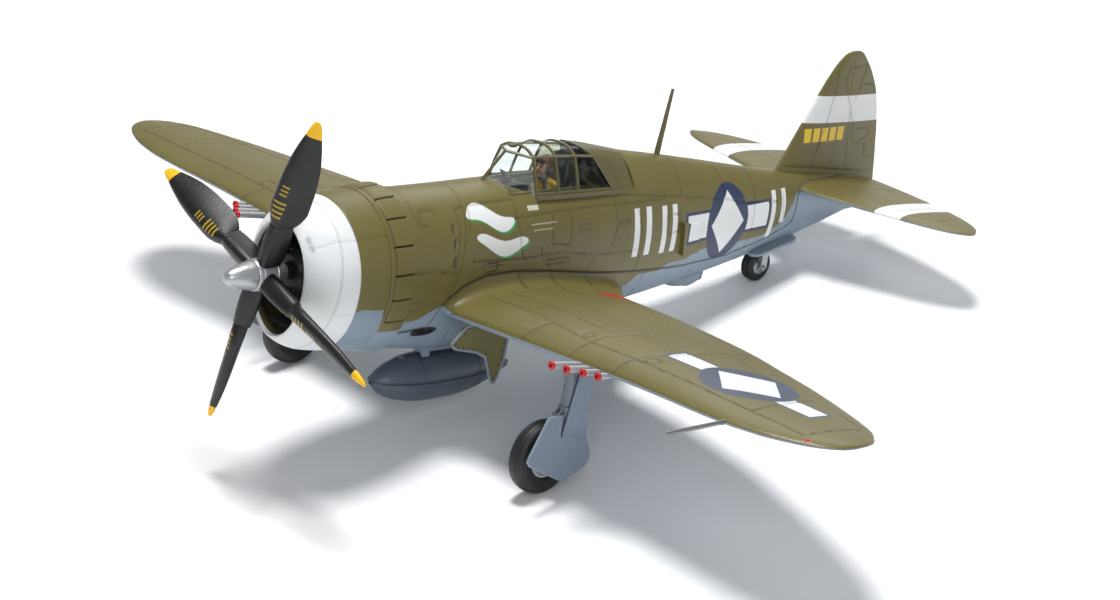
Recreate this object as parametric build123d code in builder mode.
"""Die-cast model of a radial-engined, low-wing fighter standing on its three wheels.

All lengths in millimetres. Airframe frame: +X towards the nose, +Y to port, +Z up,
origin on the thrust line at the tip of the propeller hub. Places along the airframe are
stations, the distance aft of the hub tip, so station s is X = -s. Each piece is built in
this frame and pitched nose up when it is saved, with the ground at Z = 0.
"""
from build123d import *
import math
import os

os.makedirs("parts", exist_ok=True)

# ---------------------------------------------------------------- dimensions
SPAN = 172.6              # wing span
LENGTH = 152.6            # hub tip to rudder trailing edge
STANCE_DEG = 11.2         # nose-up angle on the three wheels
HUB_TIP_X = 75.30         # hub tip in the standing model's frame
HUB_TIP_Z = 37.0          # hub tip above ground
WALL = 1.3                # die-cast wall
CLEARANCE = 0.05          # radial play of a pin in its bore

# propeller and shaft
PROP_R = 27.7
PROP_X = 7.03             # station of the propeller plane
BLADE_ANGLES = [71.56 + 90 * k for k in range(4)]
SHAFT_R = 0.75
SHAFT_FRONT = 5.0         # front end of the shaft, inside the hub
SHAFT_REAR = 21.1
BUSH_R = 1.5

# main gear
WHEEL_R = 6.0
WHEEL_W = 3.5
HUB_R = 3.1
HUB_HALF_W = 1.25
AXLE_R = 0.50
TRACK_HALF = 31.1
MAIN_X = 41.0             # station of the main axles
LEG_X = 42.4              # station of the leg's top
LEG_Y = 34.0
PEG_R = 0.80              # peg on top of the leg
BAY_ROOF = -6.2           # roof of the leg recess under the wing
AXLE_OUTER_Y = LEG_Y + 0.4

# tail gear
TAIL_WHEEL_R = 3.0
TAIL_WHEEL_W = 2.4
TAIL_HUB_R = 1.6
TAIL_AXLE_R = 0.40
TAIL_PEG_R = 0.80
TAIL_X = 122.6            # station of the tail axle
TAIL_STRUT_X = TAIL_X - 0.2

# joints between the two castings
BOSS_FRONT = 34.0         # stations of the screw bosses
BOSS_REAR = 96.0
BOSS_TIP = -9.0           # lower end of the bosses
BOSS_R = 1.6
SCREW_R = 0.7
SCREWS = ((BOSS_FRONT, -14.6), (BOSS_REAR, -11.3))   # station, height of the belly skin
COUNTERBORE = 0.9         # depth above the belly skin
STAND_X = 87.2            # display stand socket
STAND_BORE_R = 1.5

# cockpit
COCKPIT_FRONT, COCKPIT_REAR = 52.6, 70.6
COCKPIT_LENGTH = COCKPIT_REAR - COCKPIT_FRONT
COCKPIT_MID = (COCKPIT_FRONT + COCKPIT_REAR) / 2
COCKPIT_HALF_W = 4.6
TUB_BOTTOM = 1.6
FLOOR_Z = 2.4

# small external fittings
MAST_X = 90.9
MAST_R = 0.55
MAST_AXIS = (-0.14, 0, 1)  # leans aft
PITOT_Y = 69.0
PITOT_R = 0.40
LAMP_X, LAMP_Y, LAMP_R = 40.1, 81.9, 1.2
GUN_R = 0.55
# distance outboard, height, muzzle station
GUNS = [(38.8, -4.55, 31.9), (40.8, -4.65, 33.1), (42.7, -4.75, 34.7), (44.6, -4.85, 36.0)]

# drop tank
TANK_Z = -21.2            # height of the tank's axis
TANK_POST_X = 46.0
TANK_POST_R = 0.9

COS_STANCE = math.cos(math.radians(STANCE_DEG))
SIN_STANCE = math.sin(math.radians(STANCE_DEG))
STANCE = Location((HUB_TIP_X, 0, HUB_TIP_Z), (0, -STANCE_DEG, 0))


def wheel_z(station, radius):
    """Height in the airframe frame of a wheel centre that stands on the ground."""
    return (radius - HUB_TIP_Z + station * SIN_STANCE) / COS_STANCE


MAIN_Z = wheel_z(MAIN_X, WHEEL_R)
TAIL_Z = wheel_z(TAIL_X, TAIL_WHEEL_R)


# ------------------------------------------------------------------- helpers
def save(builder, name):
    """Stand the piece on its wheels and write its STEP file."""
    shape = builder.part.moved(STANCE)
    shape.label = name
    export_step(shape, "parts/" + name + ".step")


def across(station):
    """Cross plane: local x to port, local y up, normal forward."""
    return Plane(origin=(-station, 0, 0), x_dir=(0, 1, 0), z_dir=(1, 0, 0))


def side(y):
    """Fore-and-aft vertical plane: local x aft, local y up, normal to port."""
    return Plane(origin=(0, y, 0), x_dir=(-1, 0, 0), z_dir=(0, 1, 0))


def flat(z):
    """Horizontal plane: local x aft, local y to starboard, normal up."""
    return Plane(origin=(0, 0, z), x_dir=(-1, 0, 0), z_dir=(0, 0, 1))


def level(z):
    """Horizontal plane with the airframe's own X and Y, normal up."""
    return Plane.XY.offset(z)


def disc(plane, radius, *centres):
    """Circles on a plane, one at each centre, or one at the plane's origin."""
    with BuildSketch(plane) as sketch:
        with Locations(*(centres or [(0, 0)])):
            Circle(radius)
    return sketch.sketch


def oval(station, half_width, top, bottom, widest=0.0, upper=2.0, lower=2.0, steps=18):
    """Egg-shaped cross-section: height of the widest point, and the fullness
    (superellipse exponent) of the upper and lower halves."""
    points = []
    for i in range(steps):
        angle = 2 * math.pi * i / steps
        c, s = math.cos(angle), math.sin(angle)
        height, power = (top - widest, upper) if s >= 0 else (widest - bottom, lower)
        r = (abs(c / half_width) ** power + abs(s / height) ** power) ** (-1.0 / power)
        points.append((r * c, widest + r * s))
    with BuildSketch(across(station)) as sketch:
        with BuildLine():
            Spline(*points, periodic=True)
        make_face()
    return sketch.sketch


def shrink(rows):
    """Ovals of the hull rows drawn in by one wall thickness."""
    return [oval(station, half_width - WALL, top - WALL, bottom + WALL, *shape)
            for station, half_width, top, bottom, *shape in rows]


# Aerofoil shape: fraction of chord, thickness above and below, share of the camber
FOIL = [(0.04, 0.27, 0.26, 0.3), (0.15, 0.44, 0.42, 0.7), (0.38, 0.5, 0.5, 1.0), (0.7, 0.31, 0.27, 0.6)]
FOIL_EDGE_HALF = 0.09     # half thickness of the trailing edge


def foil(plane, leading, trailing, thickness, z=0.0, camber=0.0):
    """Aerofoil section on a plane whose local x runs aft."""
    chord = trailing - leading
    upper, lower = [(leading, z)], [(leading, z)]
    for along, above, below, share in FOIL:
        x = leading + along * chord
        upper.append((x, z + above * thickness + camber * share))
        lower.append((x, z - below * thickness + camber * share))
    upper.append((trailing, z + FOIL_EDGE_HALF))
    lower.append((trailing, z - FOIL_EDGE_HALF))
    with BuildSketch(plane) as sketch:
        with BuildLine():
            Spline(*upper)
            Line(upper[-1], lower[-1])
            Spline(*reversed(lower))
        make_face()
    return sketch.sketch


# ------------------------------------------------------------ fuselage tables
# station, half width, top, bottom, widest height, upper fullness, lower fullness
NOSE = [
    (24.0, 10.4, 11.6, -13.7, -0.2, 2.00, 2.10),
    (28.2, 10.5, 11.7, -14.2, -0.3, 2.00, 2.10),
    (34.0, 10.1, 11.4, -14.5, -0.6, 2.05, 2.15),
    (42.0, 9.7, 11.4, -14.8, -0.8, 2.10, 2.20),
    (50.0, 9.4, 11.5, -14.8, -0.8, 2.15, 2.20),
    (60.0, 9.1, 11.5, -14.6, -0.6, 2.25, 2.20),
    (70.0, 8.8, 11.4, -14.1, -0.4, 2.25, 2.15),
    (80.3, 8.4, 11.2, -13.2, 0.0, 2.20, 2.10),
]
REAR = [
    (80.3, 8.4, 14.5, -13.2, 0.0, 1.80, 2.10),
    (88.0, 7.85, 13.35, -12.2, 0.2, 1.82, 2.05),
    (98.0, 7.0, 11.75, -11.0, 0.5, 1.86, 2.00),
    (108.0, 6.05, 10.05, -9.6, 0.8, 1.90, 2.00),
    (118.0, 5.0, 8.35, -7.9, 1.0, 1.95, 2.00),
    (126.0, 4.0, 7.2, -6.4, 1.3, 2.00, 2.00),
    (134.0, 2.9, 6.6, -4.6, 1.7, 2.00, 2.00),
    (141.0, 1.8, 6.2, -3.0, 2.0, 2.00, 2.00),
    (147.0, 0.9, 5.6, -1.5, 2.2, 2.00, 2.00),
]
# outer surface at the ends of the hollow, and where the raised rear hollow begins
ROOM_FIRST = (26.0,) + NOSE[0][1:]
ROOM_STEP = (81.7, 8.3, 14.25, -13.0, 0.0, 1.80, 2.10)
ROOM_AFT = REAR[1:4] + [(112.0, 5.6, 9.35, -8.9, 0.9, 1.92, 2.0)]

# cowling surfaces: station, half width, top, bottom
COWL_OUT = [
    (9.9, 6.35, 8.05, -10.15), (10.2, 7.1, 8.55, -10.7), (11.0, 8.1, 9.2, -11.3),
    (12.0, 9.1, 9.85, -11.9), (13.2, 10.05, 10.45, -12.4), (14.8, 10.7, 10.95, -12.75),
    (17.1, 11.1, 11.5, -13.1), (20.0, 11.2, 11.8, -13.5), (23.4, 11.1, 12.0, -13.9),
]
COWL_IN = [
    (9.9, 6.2, 7.9, -10.0), (11.0, 6.25, 7.8, -10.0), (12.2, 7.2, 8.4, -10.6),
    (13.6, 8.6, 9.3, -11.4), (15.6, 9.6, 10.1, -11.9), (18.5, 10.0, 10.5, -12.3),
    (24.0, 10.0, 10.9, -12.8),
]

# seam between the two castings: station, height
SEAM_FRONT_Z = -9.6
SEAM = [
    (20.0, SEAM_FRONT_Z), (34.6, SEAM_FRONT_Z), (36.0, -5.6), (37.6, -4.1), (40.4, -2.4),
    (44.9, -1.3), (50.9, -1.3), (59.2, -2.2), (71.2, -4.0), (80.5, -4.9), (87.2, -5.5),
    (94.9, -6.0), (108.2, -5.9), (119.0, -3.9), (124.3, -2.4), (126.2, -1.4), (126.8, 3.6),
    (128.4, 4.6), (133.0, 5.4), (142.6, 5.6),
]

# ---------------------------------------------------- shared shapes: the hull
with BuildPart() as hull_front:
    loft([oval(*row) for row in NOSE])
with BuildPart() as hull_rear:
    loft([oval(*row) for row in REAR])
# one unbroken surface from nose to tail for the lower casting
with BuildPart() as hull_low:
    loft([oval(*row) for row in NOSE[:-1] + REAR[1:]])

# the hollows inside them
with BuildPart() as room_low:
    loft(shrink([ROOM_FIRST] + NOSE[1:-1] + ROOM_AFT))
with BuildPart() as room_front:
    loft(shrink([ROOM_FIRST] + NOSE[1:]))
with BuildPart() as room_rear:
    loft(shrink([ROOM_STEP] + ROOM_AFT))

# fin and rudder as one surface: height, leading edge, trailing edge, thickness
FIN = [
    (3.0, 122.0, LENGTH, 2.3), (6.8, 123.0, 152.05, 2.3), (11.0, 125.6, 151.3, 2.1),
    (16.0, 128.7, 150.3, 1.9), (21.0, 131.85, 148.7, 1.6), (25.0, 134.6, 146.3, 1.3),
    (27.6, 136.9, 144.0, 1.0), (28.7, 138.7, 142.7, 0.7), (29.0, 140.0, 141.9, 0.4),
]
RUDDER_FOOT = [(-1.7, 143.4, 147.8, 0.8), (0.5, 142.0, 150.4, 1.4), (3.0, 141.0, LENGTH, 1.8)]
with BuildPart() as fin:
    loft([foil(flat(z), *row) for z, *row in FIN])
with BuildPart() as rudder_foot:
    loft([foil(flat(z), *row) for z, *row in RUDDER_FOOT])

# wing: distance outboard, leading edge, trailing edge, thickness
WING = [
    (6.0, 37.2, 72.2, 5.0), (16.0, 37.5, 71.7, 4.8), (27.0, 37.9, 70.9, 4.4),
    (38.0, 38.2, 69.3, 4.0), (47.0, 38.3, 67.6, 3.6), (56.0, 37.9, 64.8, 3.2),
    (63.0, 37.4, 62.6, 2.8), (69.0, 37.2, 60.4, 2.5), (75.0, 37.9, 57.9, 2.1),
    (79.2, 39.2, 56.0, 1.7), (82.5, 40.9, 54.2, 1.35), (84.6, 42.6, 52.2, 1.0),
    (86.0, 44.9, 50.2, 0.6), (SPAN / 2, 46.3, 48.6, 0.3),
]
WING_CAMBER = 0.12        # share of the thickness


def wing_z(y):
    """Height of the wing's chord line, rising outboard."""
    return -7.1 + 0.055 * y


with BuildPart() as wing_port:
    loft([foil(side(y), leading, trailing, thickness, wing_z(y), WING_CAMBER * thickness)
          for y, leading, trailing, thickness in WING])
with BuildPart() as wing_starboard:
    mirror(wing_port.part, about=Plane.XZ)
WINGS = {1: wing_port.part, -1: wing_starboard.part}

# tailplane: distance outboard, leading edge, trailing edge, thickness
TAILPLANE = [
    (1.2, 125.6, 149.6, 2.4), (7.0, 127.1, 149.4, 2.2), (14.0, 129.3, 148.9, 1.9),
    (20.0, 131.1, 148.3, 1.7), (26.0, 133.0, 147.1, 1.4), (30.5, 134.9, 145.8, 1.1),
    (33.0, 136.8, 144.3, 0.8), (34.5, 139.4, 142.0, 0.4),
]
TAILPLANE_Z = 4.3
with BuildPart() as tailplane_port:
    loft([foil(side(y), *row, TAILPLANE_Z) for y, *row in TAILPLANE])
with BuildPart() as tailplane_starboard:
    mirror(tailplane_port.part, about=Plane.XZ)

# everything above and behind the seam, which the upper casting takes
with BuildPart() as above_seam:
    with BuildSketch(side(0)):
        with BuildLine():
            Polyline(*SEAM, (142.6, -20.0), (160.0, -20.0), (160.0, 40.0), (20.0, 40.0), close=True)
        make_face()
    extrude(amount=100, both=True)

# ------------------------------------------------------------- upper fuselage
BOSS_LENGTH = 19.4        # reaches the top skin, trimmed by the seam
BOSS_FULL_LENGTH = 12     # part that is kept below the seam
BOSS_BORE_DEPTH = 7
SLOT_X = 37.2             # cooling slots behind the cowl flaps
SLOT_HEIGHTS = (4.6, 2.4, 0.2)
SLOT_Y = 8.6

with BuildPart() as upper_fuselage:
    add(hull_front.part)
    add(hull_rear.part)
    add(room_front.part, mode=Mode.SUBTRACT)
    add(room_rear.part, mode=Mode.SUBTRACT)
    add(fin.part)
    add(rudder_foot.part)
    # screw bosses under the top skin
    extrude(disc(level(BOSS_TIP), BOSS_R, (-BOSS_FRONT, 0), (-BOSS_REAR, 0)), amount=BOSS_LENGTH)
    add(above_seam.part, mode=Mode.INTERSECT)
    for station in (BOSS_FRONT, BOSS_REAR):
        extrude(disc(level(BOSS_TIP), BOSS_R, (-station, 0)), amount=BOSS_FULL_LENGTH)
        extrude(disc(level(BOSS_TIP), SCREW_R, (-station, 0)), amount=BOSS_BORE_DEPTH,
                mode=Mode.SUBTRACT)
    # cockpit opening
    with BuildSketch(level(6.0)):
        with Locations((-COCKPIT_MID, 0)):
            Rectangle(COCKPIT_LENGTH, 2 * COCKPIT_HALF_W)
    extrude(amount=12, mode=Mode.SUBTRACT)
    # socket of the aerial mast
    extrude(disc(Plane(origin=(-MAST_X, 0, 12.0), z_dir=MAST_AXIS), MAST_R), amount=4,
            mode=Mode.SUBTRACT)
    # cooling slots, cut outwards through each side
    for z in SLOT_HEIGHTS:
        for sign in (1, -1):
            with BuildSketch(side(sign * SLOT_Y)):
                with Locations((SLOT_X, z)):
                    SlotOverall(1.2, 0.5, rotation=90)
            extrude(amount=sign * 3, mode=Mode.SUBTRACT)
    for surface in (wing_port, wing_starboard, tailplane_port, tailplane_starboard):
        add(surface.part, mode=Mode.SUBTRACT)
save(upper_fuselage, "upper_fuselage")

# -------------------------------------------------------- lower fuselage, wing
COLUMN_INSET = 1.0        # foot of a screw column above the belly skin
BORE_START = 2            # bores begin this far below the skin
BAY_DEPTH = 6

with BuildPart() as lower_fuselage_wing:
    add(hull_low.part)
    add(room_low.part, mode=Mode.SUBTRACT)
    add(above_seam.part, mode=Mode.SUBTRACT)
    for surface in (wing_port, wing_starboard, tailplane_port, tailplane_starboard):
        add(surface.part)
    # screw columns that meet the bosses, and the display stand's socket boss
    for station, skin in SCREWS:
        foot = skin + COLUMN_INSET
        extrude(disc(level(foot), BOSS_R, (-station, 0)), amount=BOSS_TIP - foot)
    extrude(disc(level(-11.2), 2.4, (-STAND_X, 0)), amount=5.6)
    # screw clearance holes with counterbores
    for station, skin in SCREWS:
        start = level(skin - BORE_START)
        extrude(disc(start, SCREW_R, (-station, 0)), amount=12, mode=Mode.SUBTRACT)
        extrude(disc(start, 1.35, (-station, 0)), amount=BORE_START + COUNTERBORE,
                mode=Mode.SUBTRACT)
    # stand socket
    extrude(disc(level(-13.5), STAND_BORE_R, (-STAND_X, 0)), amount=6.9, mode=Mode.SUBTRACT)
    for sign in (1, -1):
        # main gear recess: leg foot, leg trough and wheel well
        with BuildSketch(level(BAY_ROOF - BAY_DEPTH)):
            with Locations((-LEG_X, sign * LEG_Y)):
                Rectangle(4.0, 3.4)
            with Locations((-44.0, sign * 26.0)):
                SlotOverall(17, 2.6, rotation=90)
            with Locations((-47.0, sign * 17.5)):
                Circle(6.3)
        extrude(amount=BAY_DEPTH, mode=Mode.SUBTRACT)
        # peg socket in the bay roof
        extrude(disc(level(BAY_ROOF - 0.5), PEG_R + CLEARANCE, (-LEG_X, sign * LEG_Y)),
                amount=2.1, mode=Mode.SUBTRACT)
        # navigation lamp seat in the leading edge near the tip
        extrude(disc(level(-6), LAMP_R, (-LAMP_X, sign * LAMP_Y)), amount=8, mode=Mode.SUBTRACT)
        # gun port holes
        for gun_y, gun_z, _ in GUNS:
            extrude(disc(across(36.0), GUN_R, (sign * gun_y, gun_z)), amount=-6.0,
                    mode=Mode.SUBTRACT)
        # oil cooler exit slot
        with BuildSketch(side(sign * 6.0)):
            with Locations((34.6, -10.4)):
                Rectangle(3.4, 0.9)
        extrude(amount=sign * 6.0, mode=Mode.SUBTRACT)
    # round recess over the tail wheel fork
    extrude(disc(level(-10), 2.5, (-TAIL_STRUT_X, 0)), amount=3.65, mode=Mode.SUBTRACT)
    # pitot socket, port wing only
    extrude(disc(across(36.5), PITOT_R, (PITOT_Y, wing_z(PITOT_Y))), amount=-3.0,
            mode=Mode.SUBTRACT)
    # tail wheel strut socket
    extrude(disc(level(-9.5), TAIL_PEG_R + CLEARANCE, (-TAIL_STRUT_X, 0)), amount=5.0,
            mode=Mode.SUBTRACT)
save(lower_fuselage_wing, "lower_fuselage_wing")

# --------------------------------------------------------------- engine cowling
with BuildPart() as cowl_outer:
    loft([oval(*row) for row in COWL_OUT])
with BuildPart() as cowl_inner:
    loft([oval(*row) for row in COWL_IN])
with BuildPart() as engine_cowling:
    add(cowl_outer.part)
    add(cowl_inner.part, mode=Mode.SUBTRACT)
save(engine_cowling, "engine_cowling")

# plate that closes the back of the cowling
with BuildPart() as engine_bulkhead:
    with BuildSketch(across(24.0)):
        Rectangle(40, 40)
    extrude(amount=2.0)
    add(cowl_inner.part, mode=Mode.INTERSECT)
save(engine_bulkhead, "engine_bulkhead")

# -------------------------------------------------------------- cowl flap ring
# station, half width, top, bottom
FLAP_OUT = [(23.5, 11.25, 12.15, -14.0), (25.5, 11.35, 12.4, -14.4), (28.2, 11.2, 12.55, -14.8)]
FLAP_LIP = [(23.4, 10.5, 11.6, -13.4), (24.0, 10.5, 11.6, -13.4)]   # opening at the front
FLAP_PITCH_DEG = 19.0
FLAP_GAP_R = 12.0

with BuildPart() as cowl_flap_ring:
    loft([oval(*row) for row in FLAP_OUT])
    loft([oval(*row) for row in FLAP_LIP], mode=Mode.SUBTRACT)
    add(hull_front.part, mode=Mode.SUBTRACT)
    # the ring ends at the height of the seam
    with BuildSketch(across(22.0)):
        with Locations((0, SEAM_FRONT_Z - 10)):
            Rectangle(60, 20)
    extrude(amount=-10, mode=Mode.SUBTRACT)
    # gaps between the flap plates
    for k in range(-6, 7):
        angle = 90 + k * FLAP_PITCH_DEG
        gap_y = FLAP_GAP_R * math.cos(math.radians(angle))
        gap_z = FLAP_GAP_R * math.sin(math.radians(angle))
        with BuildSketch(across(24.6)):
            with Locations((gap_y, gap_z)):
                Rectangle(1.2, 0.28, rotation=angle)
        extrude(amount=-5, mode=Mode.SUBTRACT)
save(cowl_flap_ring, "cowl_flap_ring")

# ---------------------------------------------------------------- radial engine
CYLINDERS_PER_ROW = 9
CYLINDER_PITCH_DEG = 360 / CYLINDERS_PER_ROW
CYLINDER_ROWS = ((16.0, 0.0), (19.6, CYLINDER_PITCH_DEG / 2))   # station, angular shift
CYLINDER_FOOT, CYLINDER_TOP = 3.6, 8.3    # distances from the thrust line
BARREL_R, COOLING_FIN_R = 1.05, 1.5
COOLING_FINS, COOLING_FIN_PITCH, COOLING_FIN_T = 5, 0.72, 0.3
CRANKCASE_R = 4.3
CRANKCASE_REAR = 21.9

# half profile of one finned cylinder: radius, distance from the thrust line
cylinder_profile = [(0.0, CYLINDER_FOOT), (1.15, CYLINDER_FOOT)]
for k in range(COOLING_FINS):
    z = 4.5 + COOLING_FIN_PITCH * k
    cylinder_profile += [(BARREL_R, z), (COOLING_FIN_R, z),
                         (COOLING_FIN_R, z + COOLING_FIN_T), (BARREL_R, z + COOLING_FIN_T)]
cylinder_profile += [(BARREL_R, 7.9), (0.8, CYLINDER_TOP), (0.0, CYLINDER_TOP)]

with BuildPart() as cylinder:
    with BuildSketch(Plane.XZ):
        with BuildLine():
            Polyline(*cylinder_profile, close=True)
        make_face()
    revolve(axis=Axis.Z)

with BuildPart() as radial_engine:
    # crankcase with a tapered front
    with BuildSketch(Plane.XZ):
        with BuildLine():
            Polyline((-12.2, 0.0), (-12.2, 2.6), (-13.2, 3.4), (-14.2, CRANKCASE_R),
                     (-CRANKCASE_REAR, CRANKCASE_R), (-CRANKCASE_REAR, 0.0), close=True)
        make_face()
    revolve(axis=Axis.X)
    for station, shift in CYLINDER_ROWS:
        for k in range(CYLINDERS_PER_ROW):
            turn = 90 + shift + CYLINDER_PITCH_DEG * k
            add(cylinder.part.moved(Location((-station, 0, 0), (turn, 0, 0))))
    # bore for the shaft bush
    extrude(disc(across(22.5), BUSH_R), amount=12, mode=Mode.SUBTRACT)
save(radial_engine, "radial_engine")

# shelf and two partitions in the bottom of the cowling
with BuildPart() as lower_intake_duct:
    with BuildSketch(across(CRANKCASE_REAR)):
        with Locations((0, -9.6)):
            Rectangle(12, 0.5)
        with Locations((-2.4, -10.6), (2.4, -10.6)):
            Rectangle(0.5, 2.4)
    extrude(amount=8.2)
    add(cowl_inner.part, mode=Mode.INTERSECT)
save(lower_intake_duct, "lower_intake_duct")

# ---------------------------------------------------------- shaft and propeller
with BuildPart() as shaft_bush:
    with BuildSketch(across(21.0)):
        Circle(BUSH_R)
        Circle(SHAFT_R + CLEARANCE, mode=Mode.SUBTRACT)
    extrude(amount=9.0)
save(shaft_bush, "shaft_bush")

# shaft with a head behind the bush
with BuildPart() as prop_shaft:
    extrude(disc(across(SHAFT_REAR), SHAFT_R), amount=SHAFT_REAR - SHAFT_FRONT)
    extrude(disc(across(SHAFT_REAR + 0.6), 1.25), amount=0.6)
save(prop_shaft, "prop_shaft")

with BuildPart() as shaft_collar:
    with BuildSketch(across(11.9)):
        Circle(1.35)
        Circle(SHAFT_R, mode=Mode.SUBTRACT)
    extrude(amount=0.9)
save(shaft_collar, "shaft_collar")

# elliptical sections: radius from the thrust line, width, thickness, pitch in degrees
CUFF = [(3.9, 2.6, 2.6, 52), (4.9, 4.3, 2.3, 50), (7.0, 3.9, 2.1, 48), (9.5, 3.5, 1.7, 46)]
BLADE = [
    (9.5, 3.7, 1.5, 46), (10.8, 5.0, 1.35, 45), (12.5, 5.8, 1.2, 43), (16.5, 5.7, 1.0, 38),
    (20.0, 5.1, 0.85, 34), (23.0, 3.9, 0.7, 31), (25.3, 2.6, 0.6, 29), (26.8, 1.7, 0.45, 28),
    (PROP_R, 0.6, 0.25, 27),
]
SPINNER = [(0.0, 0.0), (-0.25, 0.5), (-1.4, 1.05), (-3.2, 1.6), (-4.8, 1.9)]   # X, radius
HUB_BODY = [(-4.8, 1.9), (-5.2, 2.5), (-8.6, 2.5), (-9.4, 1.8), (-10.9, 1.5), (-10.9, 0.0),
            (0.0, 0.0)]
HUB_BORE_START = 11.0


def outward(angle):
    """Unit vector away from the thrust line, angle in degrees from port towards up."""
    return Vector(0, math.cos(math.radians(angle)), math.sin(math.radians(angle)))


def blade_section(angle, radius, width, thickness, pitch_deg):
    pitch = math.radians(pitch_deg)
    radial = outward(angle)
    tangent = outward(angle + 90)
    chord = tangent * math.cos(pitch) + Vector(1, 0, 0) * math.sin(pitch)
    origin = Vector(-PROP_X, 0, 0) + radial * radius
    with BuildSketch(Plane(origin=origin, x_dir=chord, z_dir=radial)) as sketch:
        Ellipse(width / 2, thickness / 2)
    return sketch.sketch


with BuildPart() as propeller_hub:
    with BuildSketch(Plane.XZ):
        with BuildLine():
            Spline(*SPINNER)
            Polyline(*HUB_BODY)
        make_face()
    revolve(axis=Axis.X)
    # one barrel per blade, out to the root of its cuff
    for angle in BLADE_ANGLES:
        barrel_plane = Plane(origin=(-PROP_X, 0, 0), x_dir=(1, 0, 0), z_dir=outward(angle))
        extrude(disc(barrel_plane, 1.45), amount=CUFF[0][0])
    extrude(disc(across(HUB_BORE_START), SHAFT_R), amount=HUB_BORE_START - SHAFT_FRONT,
            mode=Mode.SUBTRACT)
save(propeller_hub, "propeller_hub")

with BuildPart() as propeller_blades:
    for angle in BLADE_ANGLES:
        loft([blade_section(angle, *row) for row in CUFF])
        loft([blade_section(angle, *row) for row in BLADE])
save(propeller_blades, "propeller_blades")

# ---------------------------------------------------------------------- canopy
# station, ridge height, rail half width, rail height, foot half width, foot height
CANOPY = [
    (57.5, 16.9, 3.8, 15.7, 6.1, 9.0), (62.2, 16.9, 3.9, 15.6, 6.15, 8.8),
    (66.8, 16.6, 3.9, 15.3, 6.1, 8.7), (71.2, 16.3, 3.7, 15.0, 6.1, 8.6),
    (80.25, 14.45, 2.2, 13.4, 6.0, 8.2),
]
SCREEN = [(49.6, 10.95, 0.12, 10.85, 0.25, 10.2), (54.6, 16.1, 0.2, 16.0, 3.9, 9.4)]
SCREEN_IN = [(50.6, 10.9, 0.10, 10.85, 0.2, 10.2), (55.1, 15.5, 0.2, 15.4, 3.7, 9.4)]
CANOPY_IN_LAST = (78.6, 14.4, 2.5, 13.4, 5.7, 8.3)
CANOPY_WALL = 0.55
CANOPY_WALL_LAST = 0.4


def canopy_section(station, ridge_z, rail_y, rail_z, foot_y, foot_z, inset=0.0):
    rail_y -= inset * 0.8
    rail_z -= inset
    foot_y -= inset
    with BuildSketch(across(station)) as sketch:
        with BuildLine():
            Polyline((0, ridge_z - inset), (rail_y, rail_z), (foot_y, foot_z), (-foot_y, foot_z),
                     (-rail_y, rail_z), close=True)
        make_face()
    return sketch.sketch


with BuildPart() as canopy:
    # windscreen, then the hood behind it
    loft([canopy_section(*row) for row in SCREEN + CANOPY[:1]], ruled=True)
    loft([canopy_section(*row) for row in CANOPY], ruled=True)
    # hollow of each
    loft([canopy_section(*row) for row in SCREEN_IN]
         + [canopy_section(*CANOPY[0], inset=CANOPY_WALL)], ruled=True, mode=Mode.SUBTRACT)
    loft([canopy_section(*row, inset=CANOPY_WALL) for row in CANOPY[:-1]]
         + [canopy_section(*CANOPY_IN_LAST, inset=CANOPY_WALL_LAST)],
         ruled=True, mode=Mode.SUBTRACT)
    add(hull_front.part, mode=Mode.SUBTRACT)
save(canopy, "canopy")

# ------------------------------------------------------------ cockpit furniture
TUB_WALL = 0.7
with BuildPart() as cockpit_tub:
    with BuildSketch(level(TUB_BOTTOM)):
        with Locations((-COCKPIT_MID, 0)):
            Rectangle(COCKPIT_LENGTH, 2 * COCKPIT_HALF_W)
    extrude(amount=8.0)
    with BuildSketch(level(FLOOR_Z)):
        with Locations((-COCKPIT_MID, 0)):
            Rectangle(COCKPIT_LENGTH - 2 * TUB_WALL, 2 * COCKPIT_HALF_W - 2 * TUB_WALL)
    extrude(amount=8.0, mode=Mode.SUBTRACT)
save(cockpit_tub, "cockpit_tub")

# side outlines: station, height
SEAT = [(62.2, FLOOR_Z), (68.6, FLOOR_Z), (69.6, 10.0), (68.9, 10.0), (68.0, 4.2), (62.2, 4.0)]
SEAT_RIM = [(63.0, 4.0), (67.9, 4.1), (68.0, 5.6), (63.0, 5.2)]
SEAT_PAN = [(62.9, 4.1), (67.9, 4.2), (68.1, 5.7), (62.9, 5.3)]
with BuildPart() as pilot_seat:
    # seat block, raised rim, then the pan cut out between the sides
    for outline, half_width, mode in ((SEAT, 2.6, Mode.ADD), (SEAT_RIM, 2.6, Mode.ADD),
                                      (SEAT_PAN, 2.1, Mode.SUBTRACT)):
        with BuildSketch(side(0)):
            with BuildLine():
                Polyline(*outline, close=True)
            make_face()
        extrude(amount=half_width, both=True, mode=mode)
save(pilot_seat, "pilot_seat")

# armour plate with a head pad on its front
with BuildPart() as head_armour:
    with BuildSketch(across(70.6)):
        with BuildLine():
            Polyline((-2.6, 9.6), (2.6, 9.6), (2.3, 12.4), (1.4, 13.6), (-1.4, 13.6),
                     (-2.3, 12.4), close=True)
        make_face()
    extrude(amount=0.7)
    with BuildSketch(across(69.9)):
        with Locations((0, 12.0)):
            RectangleRounded(2.6, 2.2, 0.5)
    extrude(amount=0.9)
save(head_armour, "head_armour")

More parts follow.
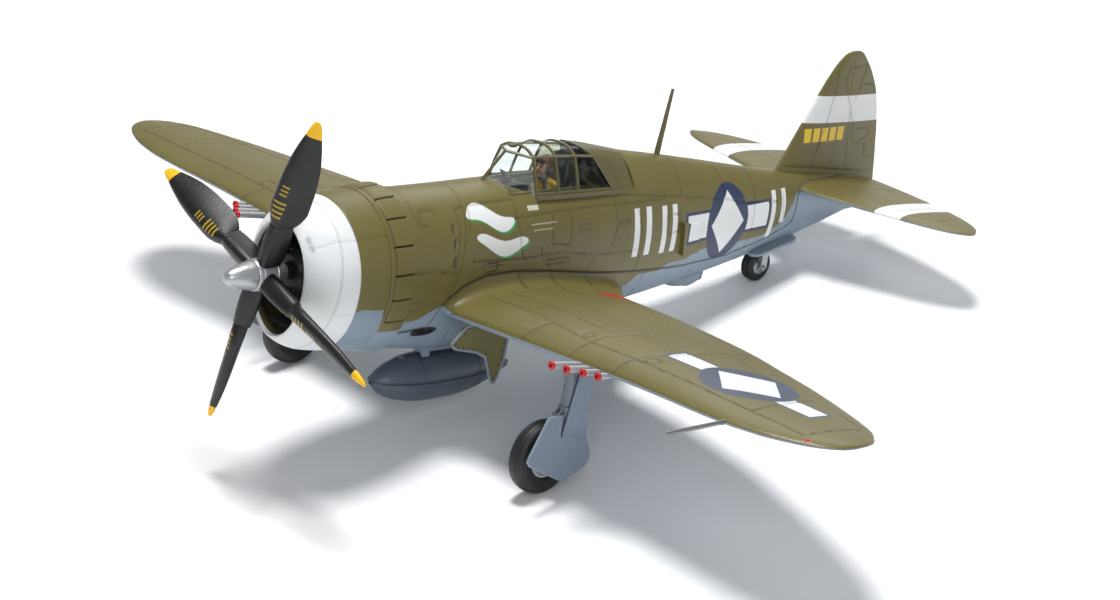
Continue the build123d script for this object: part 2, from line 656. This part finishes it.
# centre (station, distance outboard, height), size; an outboard block comes in pairs
PILOT_BLOCKS = [
    ((66.0, 0, 5.9), (3.4, 3.8, 1.6)),        # hips
    ((62.6, 1.05, 5.9), (4.6, 1.5, 1.4)),     # thighs
    ((60.7, 1.05, 4.3), (1.2, 1.3, 3.2)),     # shins
    ((66.1, 0, 8.0), (2.6, 4.2, 3.4)),        # chest
    ((66.0, 0, 9.5), (2.0, 3.2, 0.9)),        # collar
    ((65.8, 2.4, 8.0), (1.5, 1.2, 2.9)),      # upper arms
    ((63.2, 2.2, 6.9), (4.4, 1.1, 1.1)),      # forearms
]
with BuildPart() as pilot_figure:
    for (station, y, z), size in PILOT_BLOCKS:
        for sign in (1, -1) if y else (1,):
            with Locations((-station, sign * y, z)):
                Box(*size)
    # neck and helmeted head
    with Locations((-65.4, 0, 10.3)):
        Cylinder(0.8, 1.4)
    with Locations((-64.7, 0, 12.0)):
        Sphere(1.75)
save(pilot_figure, "pilot_figure")

COAMING_TOP = 10.7
with BuildPart() as instrument_coaming:
    with BuildSketch(across(58.2)):
        with BuildLine():
            Polyline((-3.8, 6.6), (3.8, 6.6), (3.8, 9.0), (2.2, COAMING_TOP),
                     (-2.2, COAMING_TOP), (-3.8, 9.0), close=True)
        make_face()
    extrude(amount=4.6)
    # recess in the rear face
    with BuildSketch(across(58.4)):
        with Locations((0, 7.4)):
            Rectangle(6.8, 2.4)
    extrude(amount=3.0, mode=Mode.SUBTRACT)
save(instrument_coaming, "instrument_coaming")

# sight body on the coaming, with a tilted plate
with BuildPart() as gunsight:
    with BuildSketch(level(COAMING_TOP)):
        with Locations((-55.6, 0)):
            Rectangle(1.6, 1.2)
    extrude(amount=1.0)
    with BuildSketch(Plane(origin=(-55.3, 0, COAMING_TOP + 1.0), z_dir=(0.6, 0, 0.8))):
        Rectangle(0.2, 1.1)
    extrude(amount=1.3)
save(gunsight, "gunsight")

STICK_X = 59.6
with BuildPart() as control_stick:
    # base, rod, grip: bottom height, radius, length
    for z, radius, length in ((FLOOR_Z, 0.7, 0.5), (2.6, 0.3, 3.2), (5.6, 0.45, 1.3)):
        extrude(disc(level(z), radius, (-STICK_X, 0)), amount=length)
save(control_stick, "control_stick")

# ------------------------------------------------------------- mast and pitot
with BuildPart() as antenna_mast:
    with BuildSketch(Plane(origin=(-MAST_X, 0, 12.05), z_dir=MAST_AXIS)) as mast_foot:
        Circle(MAST_R)
    with BuildSketch(Plane(origin=(-92.5, 0, 24.4), z_dir=MAST_AXIS)) as mast_tip:
        Circle(0.28)
    loft([mast_foot.sketch, mast_tip.sketch])
save(antenna_mast, "antenna_mast")

with BuildPart() as pitot_tube:
    # plug in the wing, then the slimmer tube: rear station, radius, length
    for station, radius, length in ((39.4, PITOT_R, 2.6), (36.9, 0.34, 11.6)):
        extrude(disc(across(station), radius, (PITOT_Y, wing_z(PITOT_Y))), amount=length)
save(pitot_tube, "pitot_tube")


# ------------------------------------------- paired parts, sign +1 port, -1 starboard
def build_gun_barrels(sign):
    root, collar = 41.9, 0.9
    with BuildPart() as barrels:
        for gun_y, gun_z, muzzle in GUNS:
            centre = (sign * gun_y, gun_z)
            extrude(disc(across(root), GUN_R, centre), amount=root - muzzle)
            extrude(disc(across(muzzle + collar), 0.68, centre), amount=collar)
    return barrels


def build_wingtip_lamp(sign):
    """Plug cut to the wing's own surface."""
    with BuildPart() as lamp:
        extrude(disc(level(-6), LAMP_R, (-LAMP_X, sign * LAMP_Y)), amount=8)
        add(WINGS[sign], mode=Mode.INTERSECT)
    return lamp


def build_intercooler_door(sign):
    """Side outline crossed with a plan outline, down to the hull surface."""
    with BuildPart() as door:
        with BuildSketch(side(sign * 5.4)):
            with BuildLine():
                Polyline((92.0, 2.7), (97.0, 1.9), (97.6, -3.4), (92.9, -3.3), close=True)
            make_face()
        extrude(amount=sign * 2.9)
        with BuildSketch(level(-8)):
            with BuildLine():
                Polyline((-91.5, sign * 7.0), (-91.5, sign * 8.35), (-98.0, sign * 7.2),
                         (-98.0, sign * 6.4), close=True)
            make_face()
        extrude(amount=16, mode=Mode.INTERSECT)
        add(hull_rear.part, mode=Mode.SUBTRACT)
    return door


# side outlines of the gear doors: station, height
INNER_DOOR = [(36.9, -10.3), (39.4, -8.0), (49.6, -7.0), (48.8, -14.8), (47.1, -18.5),
              (45.6, -17.8), (44.0, -14.2), (37.8, -11.3)]
LEG_DOOR = [(40.4, -8.2), (44.7, -8.2), (45.6, -19.4), (40.6, -18.6)]
WHEEL_DOOR = [(37.0, -14.8), (40.6, -15.0), (40.6, -18.6), (45.6, -19.4), (47.1, -21.7),
              (47.1, -24.0), (41.9, -26.1), (33.5, -22.0)]
SCISSOR_LINK = [(40.6, -13.2), (39.3, -14.9), (40.4, -17.2), (40.9, -17.0), (40.2, -15.0),
                (41.3, -13.4)]
AXLE_CENTRE = (MAIN_X, MAIN_Z)    # on a side plane


def build_inner_gear_door(sign):
    with BuildPart() as door:
        with BuildSketch(side(sign * 12.8)):
            with BuildLine():
                Polyline(*INNER_DOOR, close=True)
            make_face()
        extrude(amount=sign * 0.5)
        add(WINGS[sign], mode=Mode.SUBTRACT)
        add(hull_low.part, mode=Mode.SUBTRACT)
    return door


def build_gear_leg(sign):
    leg_top = Vector(-LEG_X, sign * LEG_Y, BAY_ROOF - 2.0)
    leg_foot = Vector(-MAIN_X, sign * LEG_Y, MAIN_Z)
    down = (leg_foot - leg_top).normalized()
    piston_start, piston_overrun = 7.0, 0.8
    bore_depth = 1.9
    with BuildPart() as leg:
        # peg and mounting block
        extrude(disc(level(BAY_ROOF), PEG_R, (-LEG_X, sign * LEG_Y)), amount=1.45)
        with BuildSketch(level(BAY_ROOF)):
            with Locations((-LEG_X, sign * LEG_Y)):
                RectangleRounded(2.8, 2.4, 0.4)
        extrude(amount=-2.9)
        # upper leg, then the thinner piston down past the axle
        extrude(disc(Plane(origin=leg_top, x_dir=(0, 1, 0), z_dir=down), 1.0), amount=7.8)
        piston_top = leg_top + down * piston_start
        extrude(disc(Plane(origin=piston_top, x_dir=(0, 1, 0), z_dir=down), 0.68),
                amount=(leg_foot - leg_top).length - piston_start + piston_overrun)
        # scissor link in front of the leg
        with BuildSketch(side(sign * LEG_Y)):
            with BuildLine():
                Polyline(*SCISSOR_LINK, close=True)
            make_face()
        extrude(amount=0.5, both=True)
        # axle boss and its blind bore, open inboard
        extrude(disc(side(sign * (LEG_Y - 0.95)), 1.05, AXLE_CENTRE), amount=sign * 1.9)
        extrude(disc(side(sign * (AXLE_OUTER_Y - bore_depth)), AXLE_R, AXLE_CENTRE),
                amount=sign * bore_depth, mode=Mode.SUBTRACT)
    return leg


def build_gear_axle(sign):
    """Axle with a retaining head at its inboard end."""
    with BuildPart() as axle:
        extrude(disc(side(sign * AXLE_OUTER_Y), AXLE_R, AXLE_CENTRE),
                amount=-sign * (AXLE_OUTER_Y - 29.5))
        extrude(disc(side(sign * 29.6), 0.95, AXLE_CENTRE), amount=-sign * 0.5)
    return axle


def build_gear_door(sign, leg):
    with BuildPart() as door:
        with BuildSketch(side(sign * 35.15)):
            with BuildLine():
                Polyline(*LEG_DOOR, close=True)
            make_face()
            with BuildLine():
                Polyline(*WHEEL_DOOR, close=True)
            make_face()
        extrude(amount=sign * 0.45)
        # stand-off pads to the leg
        for pad in ((42.0, -11.2), (41.35, -19.0)):
            with BuildSketch(side(sign * 34.98)):
                with Locations(pad):
                    Rectangle(0.9, 1.4)
            extrude(amount=sign * 0.3)
        add(leg.part, mode=Mode.SUBTRACT)
    return door


def build_wheel_hub(sign):
    with BuildPart() as hub:
        with BuildSketch(side(sign * (TRACK_HALF - HUB_HALF_W))):
            with Locations(AXLE_CENTRE):
                Circle(HUB_R)
                Circle(AXLE_R + CLEARANCE, mode=Mode.SUBTRACT)
        extrude(amount=sign * 2 * HUB_HALF_W)
        # dished outer face
        with BuildSketch(side(sign * (TRACK_HALF + HUB_HALF_W))):
            with Locations(AXLE_CENTRE):
                Circle(2.5)
                Circle(1.1, mode=Mode.SUBTRACT)
        extrude(amount=-sign * 0.5, mode=Mode.SUBTRACT)
    return hub


def build_tyre(sign):
    centre = (-MAIN_X, sign * TRACK_HALF, MAIN_Z)
    with BuildPart() as tyre:
        with BuildSketch(Plane(origin=centre, x_dir=(0, 1, 0), z_dir=(1, 0, 0))):
            with BuildLine():
                Spline((-HUB_HALF_W, HUB_R), (-WHEEL_W / 2, 4.6), (-1.2, 5.65), (0, WHEEL_R),
                       (1.2, 5.65), (WHEEL_W / 2, 4.6), (HUB_HALF_W, HUB_R))
                Line((HUB_HALF_W, HUB_R), (-HUB_HALF_W, HUB_R))
            make_face()
        revolve(axis=Axis(centre, (0, 1, 0)))
    return tyre


def build_tailwheel_door(sign):
    """Thin slanting plate, lofted from its front edge to its rear edge."""
    with BuildPart() as door:
        with BuildSketch(across(117.5)) as front:
            with BuildLine():
                Polyline((sign * 2.6, -6.5), (sign * 2.6, -7.1), (sign * 4.8, -8.9),
                         (sign * 4.8, -8.4), close=True)
            make_face()
        with BuildSketch(across(131.5)) as back:
            with BuildLine():
                Polyline((sign * 2.5, -2.9), (sign * 2.5, -3.5), (sign * 4.3, -5.7),
                         (sign * 4.3, -5.2), close=True)
            make_face()
        loft([front.sketch, back.sketch], ruled=True)
        add(hull_low.part, mode=Mode.SUBTRACT)
    return door


for name, sign in (("left", 1), ("right", -1)):
    gear_leg = build_gear_leg(sign)
    save(build_gun_barrels(sign), name + "_gun_barrels")
    save(build_wingtip_lamp(sign), name + "_wingtip_lamp")
    save(build_intercooler_door(sign), name + "_intercooler_door")
    save(build_inner_gear_door(sign), name + "_inner_gear_door")
    save(gear_leg, name + "_gear_leg")
    save(build_gear_axle(sign), name + "_axle")
    save(build_gear_door(sign, gear_leg), name + "_gear_door")
    save(build_wheel_hub(sign), name + "_wheel_hub")
    save(build_tyre(sign), name + "_tyre")
    save(build_tailwheel_door(sign), name + "_tailwheel_door")

# ------------------------------------------------------------------ tail wheel
TAIL_CENTRE = (TAIL_X, TAIL_Z)    # on a side plane
FORK_TOP = TAIL_Z + 3.9
PEG_TOP = -4.6
# one fork arm: offsets from the axle, aft and up
FORK_ARM = [(-0.8, 3.4), (0.8, 3.4), (0.75, -0.2), (0, -0.8), (-0.75, -0.2)]

with BuildPart() as tail_wheel_fork:
    # peg, carried on into the crown plate
    extrude(disc(level(PEG_TOP), TAIL_PEG_R, (-TAIL_STRUT_X, 0)), amount=FORK_TOP - PEG_TOP)
    extrude(disc(level(FORK_TOP), TAIL_PEG_R, (-TAIL_STRUT_X, 0)), amount=-0.4)
    with BuildSketch(level(FORK_TOP)):
        with Locations((-TAIL_X, 0)):
            RectangleRounded(1.9, 4.1, 0.6)
    extrude(amount=-0.6)
    for sign in (1, -1):
        with BuildSketch(side(sign * 1.55)):
            with BuildLine():
                Polyline(*[(TAIL_X + aft, TAIL_Z + up) for aft, up in FORK_ARM], close=True)
            make_face()
        extrude(amount=sign * 0.5)
    extrude(disc(side(-3), TAIL_AXLE_R, TAIL_CENTRE), amount=6, mode=Mode.SUBTRACT)
save(tail_wheel_fork, "tail_wheel_fork")

with BuildPart() as tail_axle:
    extrude(disc(side(-2.3), TAIL_AXLE_R, TAIL_CENTRE), amount=4.6)
save(tail_axle, "tail_axle")

with BuildPart() as tail_wheel_hub:
    with BuildSketch(side(-1.1)):
        with Locations(TAIL_CENTRE):
            Circle(TAIL_HUB_R)
            Circle(TAIL_AXLE_R + CLEARANCE, mode=Mode.SUBTRACT)
    extrude(amount=2.2)
save(tail_wheel_hub, "tail_wheel_hub")

# starboard half of the grooved tread section: distance to port, radius
TAIL_TREAD = [(-1.0, TAIL_HUB_R), (-TAIL_WHEEL_W / 2, 2.2), (-1.05, 2.75),
              (-0.8, TAIL_WHEEL_R), (-0.55, TAIL_WHEEL_R), (-0.45, 2.8), (-0.3, 2.8),
              (-0.2, TAIL_WHEEL_R)]
with BuildPart() as tail_tyre:
    with BuildSketch(Plane(origin=(-TAIL_X, 0, TAIL_Z), x_dir=(0, 1, 0), z_dir=(1, 0, 0))):
        with BuildLine():
            Polyline(*TAIL_TREAD, *[(-y, r) for y, r in reversed(TAIL_TREAD)], close=True)
        make_face()
    revolve(axis=Axis((-TAIL_X, 0, TAIL_Z), (0, 1, 0)))
save(tail_tyre, "tail_tyre")

# ------------------------------------------------------------------- drop tank
# station, radius
TANK = [(32.0, 0.0), (32.6, 1.2), (34.2, 2.35), (37.5, 3.5), (42.0, 4.15), (47.0, 4.2),
        (52.0, 3.7), (56.5, 2.6), (60.0, 1.3), (61.6, 0.0)]
# port edge of the flange in plan: X, Y
FLANGE = [(-station, r * 1.04 + 0.35) for station, r in TANK[:-1]] + [(-61.9, 0.3)]
FLANGE_STARBOARD = [(x, -y) for x, y in reversed(FLANGE)]


def build_tank_half(is_upper):
    with BuildPart() as half:
        with BuildSketch(side(0)):
            with BuildLine():
                Spline(*[(station, TANK_Z + r) for station, r in TANK])
                Line((TANK[-1][0], TANK_Z), (TANK[0][0], TANK_Z))
            make_face()
        revolve(axis=Axis((0, 0, TANK_Z), (1, 0, 0)))
        # the two halves meet at a flange along the side
        with BuildSketch(level(TANK_Z)):
            with BuildLine():
                Spline(*FLANGE)
                Line(FLANGE[-1], FLANGE_STARBOARD[0])
                Spline(*FLANGE_STARBOARD)
                Line(FLANGE_STARBOARD[-1], FLANGE[0])
            make_face()
        extrude(amount=0.22, both=True)
        split(bisect_by=level(TANK_Z), keep=Keep.TOP if is_upper else Keep.BOTTOM)
        if is_upper:
            # hanger post of the tank
            extrude(disc(level(TANK_Z + 3.0), TANK_POST_R, (-TANK_POST_X, 0)), amount=3.2)
    return half


save(build_tank_half(True), "drop_tank_upper_half")
save(build_tank_half(False), "drop_tank_lower_half")

with BuildPart() as drop_tank_pylon:
    with BuildSketch(level(-16.6)):
        with Locations((-TANK_POST_X, 0)):
            SlotOverall(11.0, 3.0)
    extrude(amount=3.2)
    # splayed braces, two on each side: rear face station, height of the foot
    for sign in (1, -1):
        for station, foot in ((41.5, -16.9), (50.5, -17.1)):
            with BuildSketch(across(station)):
                with BuildLine():
                    Polyline((sign * 1.0, -14.0), (sign * 2.6, -15.4), (sign * 2.6, foot),
                             (sign * 1.9, foot), (sign * 1.0, -15.6), close=True)
                make_face()
            extrude(amount=1.2)
    add(hull_low.part, mode=Mode.SUBTRACT)
    extrude(disc(level(-17.2), TANK_POST_R + CLEARANCE, (-TANK_POST_X, 0)), amount=3.5,
            mode=Mode.SUBTRACT)
save(drop_tank_pylon, "drop_tank_pylon")

# --------------------------------------------------------------- belly fittings
# side outline: curved belly, then the straight rear and top
HOOD_CURVE = [(98.6, -10.2), (100.6, -12.4), (104.0, -13.2), (107.6, -12.6)]
HOOD_BACK = [(107.6, -12.6), (110.4, -11.6), (110.4, -8.0), (98.6, -8.0), (98.6, -10.2)]
with BuildPart() as supercharger_hood:
    with BuildSketch(side(0)):
        with BuildLine():
            Spline(*HOOD_CURVE)
            Polyline(*HOOD_BACK)
        make_face()
    extrude(amount=2.6, both=True)
    fillet(supercharger_hood.edges().filter_by(GeomType.BSPLINE), 0.6)
    add(hull_low.part, mode=Mode.SUBTRACT)
save(supercharger_hood, "supercharger_hood")

HEAD_T = 0.8
with BuildPart() as assembly_screws:
    for station, skin in SCREWS:
        seat = skin + COUNTERBORE
        extrude(disc(level(seat), 1.3, (-station, 0)), amount=-HEAD_T)
        extrude(disc(level(seat), SCREW_R, (-station, 0)), amount=BOSS_TIP + 6.0 - seat)
        # cross slot in the head
        with BuildSketch(level(seat - HEAD_T)):
            with Locations((-station, 0)):
                Rectangle(1.6, 0.3)
                Rectangle(0.3, 1.6)
        extrude(amount=0.4, mode=Mode.SUBTRACT)
save(assembly_screws, "assembly_screws")
